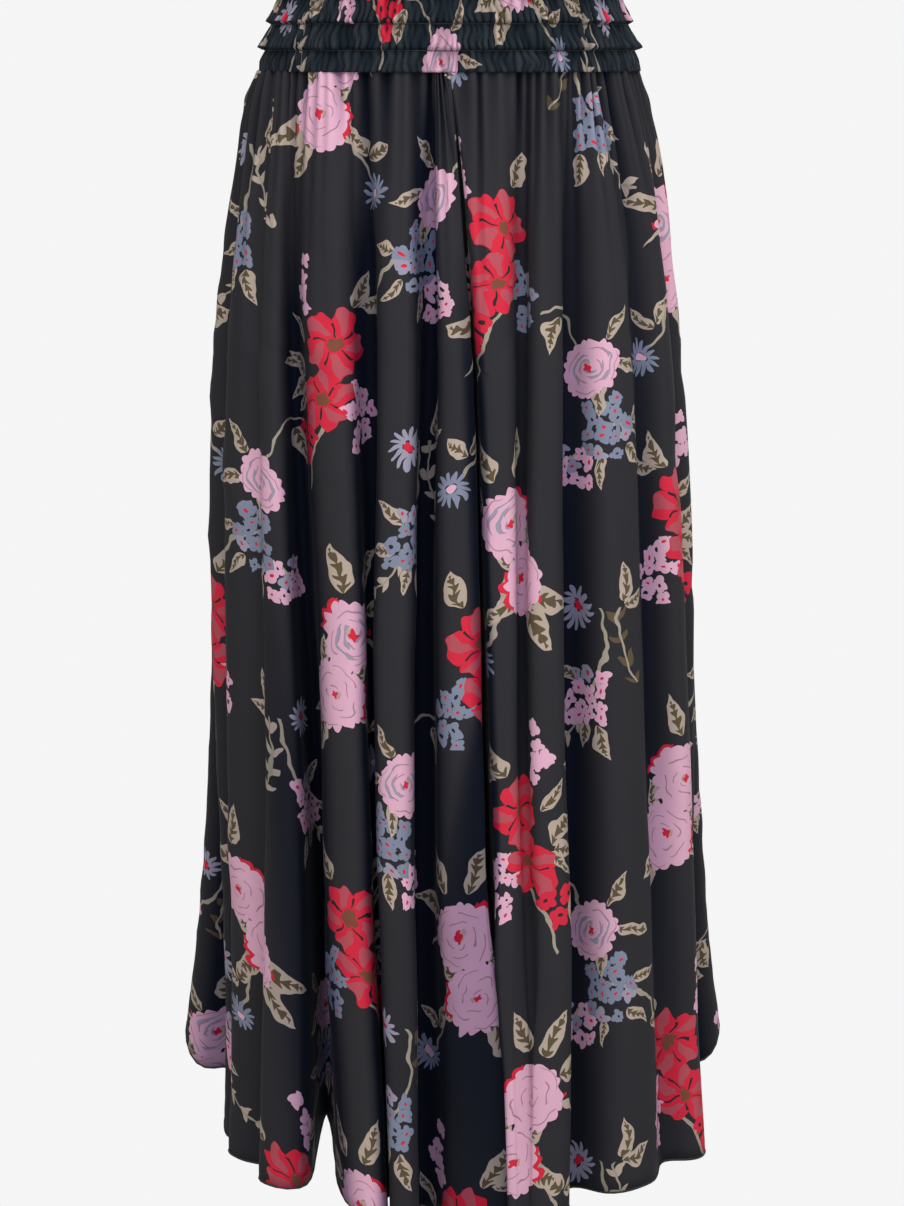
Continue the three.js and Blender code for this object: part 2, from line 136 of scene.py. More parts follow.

# One row for each fold of a panel, from where the legs part to the side seam. The place of the valley
# after it is its x at the waist seam, hip, knee and hem, or a share of the way left to the side seam.
# Then come the valley's depth at hip, knee and hem, how far the ridge stands out at the hem, how far it
# leans as a share of the fold's width, how far the valley widens, and how dark the shade painted in its
# recess is at the waist, knee and hem. OPEN_VALLEY stands open.
COLUMNS = ("place", "depths", "rise", "lean", "wide", "shades")
OPEN_VALLEY = ("front", "right", 2)
FOLD_TABLES = {
    ("front", "right"): [
        ((-13, -13, -23, -23), (26, 38, 46), -12, -0.10, 0.6, (2.4, 2.0, 0.7)),
        ((-66, -65, -61, -51), (24, 36, 48), 2, 0.10, 0.4, (0.7, 3.4, 3.2)),
        ((-120, -130, -119, -101), (19, 38, 96), 0, -0.10, 0.7, (0.3, 2.4, 2.4)),
        ((-139, -149, -154, -158), (5, 9, 14), 14, 0, 0, (0.3, 0.3, 0.25)),
        (0.60, (10, 13, 20), -6, 0, 0.2, (0.25, 0.25, 0.2)),
        (1, (10, 18, 28), -14, 0, 0.2, (0.5, 0.6, 0.6)),
    ],
    ("front", "left"): [
        ((56, 57, 54, 70), (22, 20, 4), 0, -0.04, 0.1, (0.5, 0.8, 0.5)),
        ((92, 94, 96, 98), (22, 32, 45), 2, 0, 0.6, (0.9, 0.95, 0.6)),
        ((122, 150, 172, 190), (14, 22, 20), -2, 0, 0.8, (0.9, 1.0, 0.5)),
        (0.56, (12, 17, 24), 6, 0, 0.2, (0.3, 0.3, 0.3)),
        (1, (10, 16, 26), -8, 0, 0.2, (0.5, 0.6, 0.6)),
    ],
    ("back", "right"): [
        ((-32, -28, -24, -26), (18, 28, 52), 0, 0.04, 0.5, (1.1, 1.6, 1.6)),
        ((-76, -76, -76, -80), (20, 34, 64), 4, -0.06, 0.2, (0.8, 1.3, 1.3)),
        ((-118, -124, -132, -140), (16, 26, 50), 4, 0.05, 0.7, (0.9, 1.7, 1.7)),
        (0.56, (18, 30, 54), 22, 0.04, 0.3, (0.7, 1.3, 1.3)),
        (1, (10, 16, 28), 22, 0, 0.2, (0.6, 1.0, 1.0)),
    ],
    ("back", "left"): [
        ((30, 36, 44, 50), (20, 34, 58), 2, -0.04, 0.4, (0.9, 1.5, 1.5)),
        ((68, 78, 88, 94), (16, 26, 46), -6, 0.06, 0.1, (0.7, 1.1, 1.1)),
        ((112, 124, 134, 144), (20, 34, 56), 6, -0.03, 0.8, (1.0, 1.8, 1.8)),
        (0.54, (16, 26, 50), 18, -0.02, 0.3, (0.7, 1.3, 1.3)),
        (1, (10, 16, 26), 18, 0, 0.2, (0.6, 1.0, 1.0)),
    ],
}
FOLDS = {panel: [dict(zip(COLUMNS, row)) for row in rows] for panel, rows in FOLD_TABLES.items()}

# The waistband: its rings, its rows with how far each stands out, its puffs with their rows of points,
# and the rows of elastic between them.
BAND_OUTLINE = dict(
    drop=(0, 25, 45, 65, BAND_HEIGHT),
    half=(130, 133.5, 138, 143, 148),
    front=(88, 90, 93, 96, 100),
    back=(90, 93, 98, 103, 108),
)
BAND_ROWS = dict(
    drop=(0, 3, 5, 13, 22.6, 25, 33, 42.6, 45, 53, 62.6, 65, 73, BAND_HEIGHT),
    out=(0.6, 2.2, 0, 2.2, 5.2, 0, 2.4, 5.8, 0, 3, 6.6, 0, 1.8, 0),
)
PUFFS = ((0, 5, 5), (5, 25, 16), (25, 45, 16), (45, 65, 16), (65, BAND_HEIGHT, 9))
ELASTIC_ROWS = (5, 25, 45, 65)
SHIRRING = 1.9  # how much longer the flat cloth is than the band

# Its gathers: their least and greatest width at a puff's top and at its foot, the waves by which they
# wander, as size, length, tilt and slow length, and how high they stand at the elastic and on a full
# puff.
BAND_GATHERS = ((3.4, 8.2), (3.0, 6.4))
WANDER = ((2.2, 13, 2.6, 31), (1.4, 6.1, -3.4, 47))
PINCHED_RELIEF = 1.7
PUFF_RELIEF = 4.0
FULL_SWELL = 3
MIDDLE_SWELL = 0.62
VALLEY_SWELL = 0.55
GATHER_MIDDLE = 0.6
BAND_OUT = 1.2
BAND_SEAM_TURN = 0.02
SEAM_SWELL = 0.7
SEAM_OUT = 0.8
# The shade painted between the band's gathers and beside its rows of elastic, and how far it reaches from a
# row.
VALLEY_SHADE = 1.05
ROW_SHADE = 0.25
ROW_SHADE_REACH = 2.2

THREAD_RADIUS = 0.4
THREAD_OUT = 0.8
HEM_RADIUS = 1.1
HEM_BELOW = 0.3

# For each panel: the seeds of its folds and of its marks of handling, its grain line as a share of its
# width, and where its cloth starts in the print, in metres.
PANELS = {
    ("front", "right"): (11, 31, 0.42, (0.0, 0.0)),
    ("front", "left"): (16, 32, 0.42, (0.31, 0.13)),
    ("back", "right"): (23, 33, 0.45, (1.72, 0.41)),
    ("back", "left"): (28, 34, 0.45, (2.63, 0.27)),
}
LEG_ROWS = 128
POINTS_PER_HALF = 20

# The waves of handling: their length, their tilt and their height.
HANDLING = ((61, 0.22, 0.55), (37, -0.31, 0.34), (23, 0.16, 0.18))

# The main creases of wear: the middle as a share of the way round and a drop, the length, the width, the
# turn from level in degrees, and the depth.
CREASES = {
    ("front", "right"): [
        (0.95, 262, 84, 13, -38, 2.2),
        (0.87, 318, 128, 17, -52, 2.6),
        (0.97, 372, 66, 11, -24, 1.9),
        (0.79, 232, 150, 13, -74, 1.8),
        (0.56, 196, 170, 12, 82, 2.0),
        (0.71, 455, 190, 15, -80, 2.1),
        (0.38, 395, 150, 11, 86, 1.6),
        (0.90, 605, 130, 14, -66, 2.0),
        (0.60, 700, 170, 13, 84, 1.8),
        (0.17, 560, 190, 12, 88, 1.5),
    ],
    ("front", "left"): [
        (0.93, 236, 92, 14, 34, 2.1),
        (0.82, 300, 140, 16, 56, 2.4),
        (0.66, 180, 120, 11, 76, 1.8),
        (0.48, 330, 180, 13, -84, 1.7),
        (0.96, 415, 74, 12, 22, 1.8),
        (0.34, 520, 170, 12, -87, 1.5),
        (0.75, 560, 200, 15, 78, 2.0),
        (0.90, 715, 120, 13, 68, 1.8),
        (0.20, 210, 130, 10, 85, 1.3),
    ],
    ("back", "right"): [
        (0.88, 240, 104, 15, 36, 2.3),
        (0.74, 205, 150, 14, 64, 2.0),
        (0.93, 345, 82, 12, 26, 2.2),
        (0.58, 330, 170, 15, -80, 1.9),
        (0.36, 270, 130, 12, -70, 2.1),
        (0.80, 500, 180, 15, 76, 2.2),
        (0.45, 590, 190, 13, 86, 1.6),
        (0.66, 735, 150, 14, -82, 1.8),
        (0.22, 420, 120, 11, 82, 1.5),
    ],
    ("back", "left"): [
        (0.90, 225, 96, 14, -32, 2.2),
        (0.78, 290, 138, 15, -58, 2.5),
        (0.95, 395, 70, 12, -20, 1.8),
        (0.54, 215, 150, 13, 78, 1.9),
        (0.40, 380, 180, 14, 84, 1.7),
        (0.70, 470, 170, 15, -76, 2.1),
        (0.86, 640, 140, 13, -70, 1.9),
        (0.28, 640, 190, 12, -86, 1.5),
    ],
}

# ---- small helpers on whole arrays ----


def lerp(a, b, t):
    return a + (b - a) * t


def signed_power(value, power):
    return np.sign(value) * np.abs(value) ** power


def graded(drops, values, at):
    """A table's column at any drops: a cubic through its rows, whose slope at a row is the harmonic mean
    of those beside it, so it never overshoots."""
    x, y = np.array(drops, float), np.array(values, float)
    rate = np.diff(y) / np.diff(x)
    before, after = rate[:-1], rate[1:]
    turning = before * after <= 0
    mean = np.where(turning, 0, 2 * before * after / np.where(turning, 1, before + after))
    slope = np.concatenate([rate[:1], mean, rate[-1:]])
    at = np.clip(at, x[0], x[-1])
    i = np.clip(np.searchsorted(x, at, side="right") - 1, 0, len(x) - 2)
    span = x[i + 1] - x[i]
    t = (at - x[i]) / span
    return (
        y[i] * (2 * t**3 - 3 * t**2 + 1)
        + slope[i] * span * (t**3 - 2 * t**2 + t)
        + y[i + 1] * (3 * t**2 - 2 * t**3)
        + slope[i + 1] * span * (t**3 - t**2)
    )


def outline(name, drop):
    return graded(OUTLINE["drop"], OUTLINE[name], drop)


def band_outline(name, drop):
    return graded(BAND_OUTLINE["drop"], BAND_OUTLINE[name], drop)


def scattered(seed, count, low, high):
    return np.random.default_rng(seed).uniform(low, high, count)


def unit(vectors):
    return vectors / np.maximum(np.linalg.norm(vectors, axis=-1, keepdims=True), 1e-12)


def surface_normals(points):
    """The cross product of a grid's two directions at each of its points."""
    return unit(np.cross(np.gradient(points, axis=0), np.gradient(points, axis=1)))


def across_cloth(points):
    """How much cloth lies between the start of each row and each of its points."""
    return np.cumsum(np.linalg.norm(np.diff(points, axis=1, prepend=points[:, :1]), axis=2), axis=1)


def raised(points, height):
    """The points moved by a height along the surface's normal, which fades over six points by each
    seam."""
    edge = np.minimum(np.arange(points.shape[1]), np.arange(points.shape[1])[::-1]) / 6
    return points + surface_normals(points) * (height * np.clip(edge, 0, 1))[:, :, None]


# ---- small helpers on the scene ----


def linked(name, data):
    item = bpy.data.objects.new(name, data)
    bpy.context.scene.collection.objects.link(item)
    return item


def smooth_piece(name, points, faces):
    """A smooth-shaded mesh of faces between points in millimetres."""
    mesh = bpy.data.meshes.new(name)
    mesh.from_pydata((points.reshape(-1, 3) * MM).tolist(), [], faces)
    mesh.polygons.foreach_set("use_smooth", np.ones(len(faces), bool))
    mesh.validate()
    mesh.update()
    return linked(name, mesh)


def grid_piece(name, points, outwards):
    """Quads on a grid of points, with their faces turned towards outwards, a guide at each point."""
    height, width = points.shape[:2]
    corner = np.arange(height * width).reshape(height, width)
    quads = np.stack([corner[:-1, :-1], corner[1:, :-1], corner[1:, 1:], corner[:-1, 1:]], -1).reshape(-1, 4)
    if (surface_normals(points) * outwards).sum() <= 0:
        quads = quads[:, ::-1]
    return smooth_piece(name, points, quads.tolist())


def cloth_piece(name, points, outwards, flat, painted_shades, node):
    """A grid of cloth with its thickness, with its flat coordinates as its UV map and the shade painted into
    its recesses as an attribute. It rides on the root and replaces a node."""
    piece = grid_piece(name, points, outwards)
    mesh = piece.data
    corners = np.empty(len(mesh.loops), np.int32)
    mesh.loops.foreach_get("vertex_index", corners)
    layer = mesh.uv_layers.new(name="cloth")
    layer.data.foreach_set("uv", flat.reshape(-1, 2)[corners].astype(np.float32).ravel())
    shade = mesh.attributes.new("painted_shade", "FLOAT", "POINT")
    shade.data.foreach_set("value", painted_shades.astype(np.float32).ravel())
    wall = piece.modifiers.new("cloth", "SOLIDIFY")
    wall.thickness = CLOTH_THICKNESS * MM
    wall.offset = 0
    wall.use_rim = True
    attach(piece, "root")
    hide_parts(node)
    return piece


def cord_piece(name, line, radius, sides):
    """A round thread along a line of points: a circle carried along it, square to its direction."""
    tangent = unit(np.gradient(line, axis=0))
    aside = unit(np.cross(tangent, np.array([0.0, 0.0, 1.0])))
    upward = np.cross(aside, tangent)
    turn = np.linspace(0, 2 * np.pi, sides, endpoint=False)
    ring = np.cos(turn)[None, :, None] * aside[:, None] + np.sin(turn)[None, :, None] * upward[:, None]
    corner = np.arange(len(line) * sides).reshape(len(line), sides)
    following = np.roll(corner, -1, axis=1)
    quads = np.stack([corner[:-1], corner[1:], following[1:], following[:-1]], -1).reshape(-1, 4)
    caps = [corner[0].tolist(), corner[-1][::-1].tolist()]
    piece = smooth_piece(name, line[:, None] + radius * ring, quads.tolist() + caps)
    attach(piece, "root")
    return piece


# ---- the legs ----


def closing(drop):
    """How far in the panel's inner edge lies, as a share of the way to the middle: a shallow cleft, then
    a quarter ellipse along the crotch curve, and 1 where the legs have parted."""
    cleft = SEAM_CLEFT * np.clip(drop / CROTCH_TOP_DROP, 0, 1)
    along = np.clip((drop - CROTCH_TOP_DROP) / (CROTCH_DROP - CROTCH_TOP_DROP), 0, 1)
    return 1 - (1 - cleft) * np.sqrt(1 - along * along)


def parting_at(y, drop):
    """The x of the plane where the legs part: a straight line from the front's parting to the back's."""
    front, back = outline("front", drop), outline("back", drop)
    return lerp(outline("part_front", drop), outline("part_back", drop), (y + front) / (front + back))


class Ring:
    """A panel's unfolded ring at one height, read by the distance along it: through the cleft between the
    legs, round a corner, and along a quarter of a superellipse to the side seam."""

    wall_shares = np.array([0, 0.25, 0.5, 0.75])
    quarter_points = 97

    def __init__(self, face, half, drop):
        self.side = 1 if half == "left" else -1
        self.facing = -1 if face == "front" else 1
        depth = outline(face, drop)
        self.wall = depth * closing(drop)
        inner = parting_at(self.facing * depth, drop) + self.side * LEG_SPACE
        wall_y = self.facing * (depth - self.wall * (1 - self.wall_shares))
        wall_x = parting_at(wall_y, drop) + self.side * LEG_SPACE
        angle = np.linspace(0, math.pi / 2, self.quarter_points)
        reach = self.side * outline(half, drop) - inner
        x = inner + reach * np.sin(angle) ** (2 / ROUNDNESS)
        y = self.facing * depth * np.abs(np.cos(angle)) ** (2 / ROUNDNESS)
        self.x = np.concatenate([wall_x, x]) if self.wall > 0 else x
        self.y = np.concatenate([wall_y, y]) if self.wall > 0 else y
        steps = np.hypot(np.diff(self.x), np.diff(self.y))
        self.along = np.concatenate([[0], np.cumsum(steps)])
        self.length = self.along[-1]
        self.radius = min(CORNER, self.wall / 2)

    def at(self, distance):
        """The point at each distance; past an end it is mirrored through that end."""
        inside = np.where(distance < 0, -distance, distance)
        inside = np.where(inside > self.length, 2 * self.length - inside, inside)
        point = np.stack([np.interp(inside, self.along, self.x), np.interp(inside, self.along, self.y)], -1)
        first = 2 * np.array([self.x[0], self.y[0]]) - point
        last = 2 * np.array([self.x[-1], self.y[-1]]) - point
        before, after = (distance < 0)[..., None], (distance > self.length)[..., None]
        return np.where(before, first, np.where(after, last, point))

    def rounded(self, distance):
        """The mean of nine points over the corner's radius each way."""
        offsets = np.linspace(-1, 1, 9)[:, None] * self.radius
        return self.at(distance[None, :] + offsets).mean(0)

    def outward(self, distance):
        """Square to the ring, then turned a little towards straight ahead or aside."""
        ahead, behind = self.rounded(distance + 2), self.rounded(distance - 2)
        tangent = unit(ahead - behind)
        if self.wall == 0:
            tangent[0] = (self.side, 0)
        tangent[-1] = (0, -self.facing)
        turn = self.side * self.facing
        square = np.stack([-tangent[:, 1] * turn, tangent[:, 0] * turn], -1)
        return unit(signed_power(square, 1 + RADIAL))

    def distance_at(self, x):
        """The distance at which the body's outline reaches an x."""
        start = len(self.wall_shares) if self.wall > 0 else 0
        return np.interp(self.side * x, self.side * self.x[start:], self.along[start:])


def half_wave(depth, width, share, wide, openness):
    """Half a fold, from valley to ridge, as across and up from 0 to 1 at shares of its cloth. The cloth's
    slope is half a sine wave, drawn towards the valley so that the ridge is broad, and squared off in the
    open fold. The sums of its cosine and sine give the run and the rise, at the steepness that fits the
    depth."""
    flat_top = lerp(lerp(FLAT_TOP, 1, wide * WIDENING), OPEN_FLAT_TOP, openness)
    steepest = lerp(STEEPEST, OPEN_STEEPEST, openness)
    cloth = np.linspace(0, 1, 129)
    wave = np.sin(np.pi * (1 - (1 - cloth) ** flat_top)) ** lerp(1, OPEN_SQUARED, openness)
    slope = np.linspace(0, steepest, 120)[:, None] * wave
    run = np.cumsum(np.cos(slope), axis=1) - np.cos(slope[:, :1])
    rise = np.cumsum(np.sin(slope), axis=1)
    fitting = int(np.argmin(np.abs(rise[:, -1] * width - run[:, -1] * depth)))
    run, rise = run[max(fitting, 1)], rise[max(fitting, 1)]
    return np.interp(share, cloth, run / run[-1]), np.interp(share, cloth, rise / rise[-1])


def fold_marks(ring, folds, drop, sway):
    """The valleys and ridges at one height, as distances along the ring and how far out each stands."""

    def graded_at(*levels):
        return float(graded((0, HIP_DROP, KNEE_DROP, LEG_LENGTH), levels, drop))

    parted = np.clip((drop - CROTCH_DROP) / (LEG_LENGTH - CROTCH_DROP), 0, 1)
    marks = [(0.0, -INSEAM_DEPTH * float(parted))]
    for k, fold in enumerate(folds):
        before = marks[-1][0]
        if isinstance(fold["place"], tuple):
            at = ring.distance_at(graded_at(*fold["place"]))
        else:
            at = lerp(before, ring.length, fold["place"])
        if k < len(folds) - 1:
            at += float(sway[0][k])
        middle = lerp(before, at, 0.5 + fold["lean"] * min(drop / KNEE_DROP, 1)) + float(sway[1][k])
        ridge = max(middle, lerp(ring.wall, at, FIRST_RIDGE)) if k == 0 else middle
        marks.append((ridge, graded_at(0, 0, KNEE_RISE * fold["rise"], fold["rise"])))
        marks.append((at, -graded_at(SEAM_DEPTH, *fold["depths"])))
    return marks


def folded(marks, folds, drop, open_fold, points_per_half):
    """A row's points, a half wave from mark to mark: their distances along the ring, how far out they
    stand, and their places counted in folds."""
    even = np.arange(points_per_half) / points_per_half
    at, out, place = [], [], []
    for k, (a, b) in enumerate(zip(marks, marks[1:])):
        share = np.append(even, 1.0) if k == len(marks) - 2 else even
        cloth = lerp(share, 1 - (1 - share) ** CLEFT_CROWDING, closing(drop)) if k == 0 else share
        fold = (k - 1) // 2
        openness = (drop / LEG_LENGTH) ** 2 if fold == open_fold else 0
        wide = folds[fold]["wide"] * min(drop / HOLD_DROP, 1) if k else 0
        falling = k % 2 == 1
        cloth = 1 - cloth if falling else cloth
        across, up = half_wave(abs(b[1] - a[1]), b[0] - a[0], cloth, wide, openness)
        if falling:
            across, up = 1 - across, 1 - up
        at.append(lerp(a[0], b[0], across))
        out.append(lerp(a[1], b[1], up))
        place.append((k + share) / 2)
    return np.concatenate(at), np.concatenate(out), np.concatenate(place)


class Gathers:
    """The small gathers of a panel, side by side below the waist seam, each with sizes of its own."""

    def __init__(self, seed, folds):
        edges = np.cumsum(scattered(seed + 1, 6 * folds, *GATHER_WIDTH))
        self.edges = np.concatenate([[0], edges[edges < folds - 0.1], [folds]])
        self.depth = scattered(seed + 2, len(self.edges), *GATHER_DEPTH)
        self.fade = scattered(seed + 3, len(self.edges), *GATHER_FADE)

    def push(self, place, drop):
        """How far in the cloth is pushed: a sine's square across each gather, which dies away down it."""
        k = np.clip(np.searchsorted(self.edges, place, side="right") - 1, 0, len(self.edges) - 2)
        part = (place - self.edges[k]) / (self.edges[k + 1] - self.edges[k])
        return self.depth[k] * np.exp(-((drop / self.fade[k]) ** GATHER_FALL)) * np.sin(np.pi * part) ** 2


def leg_height(x, y, drop):
    """The hem hangs a little lower at the centre front and higher behind the side seams."""
    middle = np.cos((np.pi / 2) * np.clip(x / outline("right", drop), -1, 1)) ** 4
    hang = FRONT_HANG * middle * np.clip(-y / outline("front", drop), 0, 1)
    back = np.clip((y - BACK_LIFT_FROM) / (BACK_LIFT_TO - BACK_LIFT_FROM), 0, 1)
    lift = BACK_LIFT * back * back * (3 - 2 * back)
    return -BAND_HEIGHT - SEAM_GAP - drop + (lift - hang) * (drop / LEG_LENGTH) ** 2


def painted_recess_shade(at, out, marks, folds, drop):
    """The shade painted into a fold's colour, from 0 on a ridge to 1 in its recess: the depth below the
    line from ridge to ridge, as a share of the recess's width, times the fold's shade."""
    ridges = np.array(marks[1::2])
    line = np.maximum(np.interp(at, ridges[:, 0], ridges[:, 1]), 0)
    edges = np.append(ridges[:, 0], marks[-1][0])
    width = np.interp(at, ridges[:, 0], np.diff(edges))
    levels = (SHADE_TOP_DROP, KNEE_DROP, LEG_LENGTH)
    shades = [graded(levels, fold["shades"], drop) for fold in folds]
    shade = np.array([PARTING_SHADE, *shades])[np.searchsorted(ridges[:, 0], at)]
    return np.clip(shade * (line - out - SHADE_FROM) / (SHADE_SPREAD * width + SHADE_MARGIN), 0, 1)


def parting_shade(ring, at, drop):
    """The shade painted on the cloth in and beside the cleft between the legs. On the right leg's front,
    over which the left one falls, the painted shade reaches further from the knee down."""
    reach = CLEFT_REACH
    if ring.side < 0 and ring.facing < 0:
        reach = np.interp(drop, PARTING_REACH["drop"], PARTING_REACH["reach"])
    dark = np.interp(drop, CLEFT_DARK["drop"], CLEFT_DARK["dark"])
    return dark * np.exp(-((np.maximum(at - ring.wall, 0) / reach) ** 4))


def opened(at, out, marks, drop):
    """How far in a point of the open valley lies, from 0 on its ridges to 1 at its foot, less above the
    hem."""
    before, after = marks[2 * OPEN_VALLEY[2] + 1][0], marks[2 * OPEN_VALLEY[2] + 3][0]
    inward = np.where((at > before) & (at < after), np.clip(-out / OPEN_DEPTH, 0, 1), 0)
    return inward * (drop / LEG_LENGTH) ** 2


def painted_shade_beside_opening(at, marks, drop):
    """The shade painted on the fold beside the open valley, on the side that turns away from the front."""
    beyond = at - marks[2 * OPEN_VALLEY[2] + 2][0]
    growing = np.clip((drop - OPEN_SHADE_FROM) / OPEN_SHADE_OVER, 0, 1)
    return np.where(beyond > 0, OPEN_SHADE * np.exp(-((beyond / OPEN_SHADE_REACH) ** 4)) * growing, 0)


def panel_drops(rows):
    """The drops of a panel's rows, closest over the gathers and furthest apart down the legs."""
    quarter = rows // 4
    return np.concatenate([
        np.linspace(0, GATHER_ROWS, quarter, endpoint=False),
        np.linspace(GATHER_ROWS, CROTCH_DROP, quarter, endpoint=False),
        np.linspace(CROTCH_DROP, LEG_LENGTH, rows - 2 * quarter),
    ])


def leg_panel_points(face, half, seed, rows, points_per_half):
    """A panel's middle surface as a grid, the drops of its rows, and the shade painted at each point. Each
    row is the ring at its drop, folded by the half waves between its marks, and pushed in by the small
    gathers."""
    folds = FOLDS[face, half]
    sway_phase = scattered(seed, (2, len(folds)), 0, 2 * np.pi)
    gathers = Gathers(seed, len(folds))
    open_fold = OPEN_VALLEY[2] if (face, half) == OPEN_VALLEY[:2] else None
    drops = panel_drops(rows)
    grid, painted_shades = [], []
    for drop in drops:
        ring = Ring(face, half, drop)
        waves = np.sin(sway_phase + drop / np.array(SWAY_LENGTHS)[:, None])
        marks = fold_marks(ring, folds, drop, min(drop / HOLD_DROP, 1) * SWAY * waves)
        at, out, place = folded(marks, folds, drop, open_fold, points_per_half)
        push = gathers.push(place, drop)
        point = ring.rounded(at) + ring.outward(at) * (out - push)[:, None]
        z = leg_height(point[:, 0], point[:, 1], drop)
        dark = parting_shade(ring, at, drop)
        if open_fold is not None:
            inward = opened(at, out, marks, drop)
            point[:, 0] -= OPEN_SWING * inward
            z += OPEN_LIFT * inward**2
            dark = np.maximum(dark, painted_shade_beside_opening(at, marks, drop))
        if closing(drop) < 1:
            offset = LEG_SPACE * np.clip(ring.wall / CORNER, 0, 1)
            point[0, 0] = parting_at(point[0, 1], drop) + ring.side * offset
        grid.append(np.column_stack([point, z]))
        # Shade painted by the recess's depth, by the small gathers' push and by the cleft.
        painted_shade = painted_recess_shade(at, out, marks, folds, drop) + push / GATHER_SHADE_DEPTH
        painted_shades.append(np.clip(np.maximum(painted_shade, dark), 0, 1))
    return np.array(grid), drops, np.array(painted_shades)


def lapped(points, drops, half):
    """Low down, the left leg's front edge laps over the right leg's: its foremost millimetres lean across
    the line where the legs part, and the right leg's edge leans the other way, underneath."""
    drop = drops[:, None]
    forward = -points[..., 1] - outline("front", drop)
    low = np.clip((drop - LAP_FROM) / LAP_OVER, 0, 1)
    near = np.exp(-(((points[..., 0] - outline("part_front", drop)) / LAP_NEAR) ** 2))
    lean, behind, within = LAPS[half]
    moved = points.copy()
    moved[..., 0] += low * low * (3 - 2 * low) * near * (lean * np.clip((forward + behind) / within, 0, 1))
    return moved


def tucked_in(points, drops, painted_shades):
    """Adds the rows above the waist seam, where the leg's cloth turns up inside the waistband, and the top
    row lies against the band's inner side. Their painted shade is full."""
    level = BAND_HEIGHT - TUCK_ROWS[0][1]
    half, front, back = [band_outline(name, level) - TUCK_INSET for name in ("half", "front", "back")]
    seam = points[0]
    x, y = np.abs(seam[:, 0]) / half, np.abs(seam[:, 1]) / np.where(seam[:, 1] > 0, back, front)
    size = (x**ROUNDNESS + y**ROUNDNESS) ** (1 / ROUNDNESS)
    against = seam * np.array([1, 1, 0]) / size[:, None] + seam * np.array([0, 0, 1])
    rows = [lerp(seam, against, share) + np.array([0, 0, up]) for share, up in TUCK_ROWS]
    return (
        np.concatenate([rows, points]),
        np.concatenate([[-up for _, up in TUCK_ROWS], drops]),
        np.concatenate([np.ones((len(rows), len(seam))), painted_shades]),
    )


def creased(points, drops, table):
    """Adds the creases of a table. Across a crease, its height is a bell curve times a slanted line, a
    trough with a lower ridge beside it, and it fades towards both ends."""
    across = across_cloth(points)
    down = drops[:, None]
    height = np.zeros(across.shape)
    for share, drop, length, width, turn, depth in table:
        x = across - share * across[:, -1:]
        y = down - drop
        turned = math.radians(turn)
        along = x * math.cos(turned) + y * math.sin(turned)
        beside = y * math.cos(turned) - x * math.sin(turned)
        bell = np.exp(-((beside / width) ** 2)) * (0.75 - 0.9 * beside / width)
        height -= depth * bell * np.clip(1 - (2 * along / length) ** 2, 0, 1) ** 2
    return raised(points, height)


def handled(points, seed):
    """Adds shallow marks of handling: waves a few centimetres apart, longer down the cloth than across
    it, each the product of a slow wave and a quick one."""
    across = across_cloth(points)
    down = -points[:, :, 2]
    height = np.zeros(across.shape)
    for k, (length, tilt, size) in enumerate(HANDLING):
        phase = scattered(seed + k, 3, 0, 2 * np.pi)
        quick = np.sin(2 * np.pi * (across + tilt * down) / length + phase[0])
        slow = np.sin(down / (2.4 * length) + phase[1]) * np.sin(across / (1.7 * length) + phase[2])
        height += size * quick * slow
    return raised(points, height)


def cloth_map(points, drops, grain, start):
    """Where each point lies in the flat cloth, in metres: across from the grain line, and down by the
    drop."""
    across = across_cloth(points)
    column = int(grain * (points.shape[1] - 1))
    across -= across[:, column : column + 1]
    down = np.broadcast_to(-drops[:, None], across.shape)
    return np.stack([across * MM + start[0], down * MM + start[1]], -1)


legs = {}
hem_lines = {}
for (face, half), (seed, handling_seed, grain, start) in PANELS.items():
    points, drops, painted_shades = leg_panel_points(face, half, seed, LEG_ROWS, POINTS_PER_HALF)
    if face == "front":
        points = lapped(points, drops, half)
    points = creased(handled(points, handling_seed), drops, CREASES[face, half])
    points, drops, painted_shades = tucked_in(points, drops, painted_shades)
    flat = cloth_map(points, drops, grain, start)
    outwards = (points - np.array([points[..., 0].mean(), 0, 0])) * np.array([1, 1, 0])
    name, node = f"cloth_{face}_leg_{half}", f"{face}_leg_{half}"
    legs[face, half] = cloth_piece(name, points, outwards, flat, painted_shades, node)
    hem_lines[face, half] = points[-1, ::2] - np.array([0, 0, HEM_BELOW])

# ---- the waistband ----


def gathered(rng, along, narrowest, widest):
    """A row of gathers side by side, each the arch of a sine, with widths and heights of its own."""
    widths = rng.uniform(narrowest, widest, 240)
    edges = np.concatenate([[0], np.cumsum(widths)])
    k = np.clip(np.searchsorted(edges, along, side="right") - 1, 0, len(widths) - 1)
    part = np.clip((along - edges[k]) / widths[k], 0, 1)
    return rng.uniform(0.3, 1.0, len(widths))[k] * np.sin(np.pi * part) ** 0.7


def band_gathers(rng, drops, arc):
    """How high each point of the band stands on its gather, from 0 to 1. A puff's gathers wander along
    the band by products of a quick and a slow wave, and change from one row of gathers to another on
    their way down."""
    gather = np.zeros((len(drops), len(arc)))
    for top, foot, _ in PUFFS:
        foot += foot == BAND_HEIGHT  # so that the last row is in the last puff
        rows = (drops >= top) & (drops < foot)
        rise = ((drops[rows] - top) / (foot - top))[:, None]
        phase = rng.uniform(0, 2 * np.pi, 4)
        wander = 0
        for (size, length, tilt, slow), start, slow_start in zip(WANDER, phase[::2], phase[1::2]):
            quick = np.sin(arc / length + tilt * rise + start)
            wander = wander + size * quick * np.sin(arc / slow + slow_start)
        moved = arc + wander * np.sin(np.pi * rise)
        change = np.clip((rise - 0.2) / 0.6, 0, 1)
        gather[rows] = lerp(*(gathered(rng, moved, *widths) for widths in BAND_GATHERS), change)
    return gather


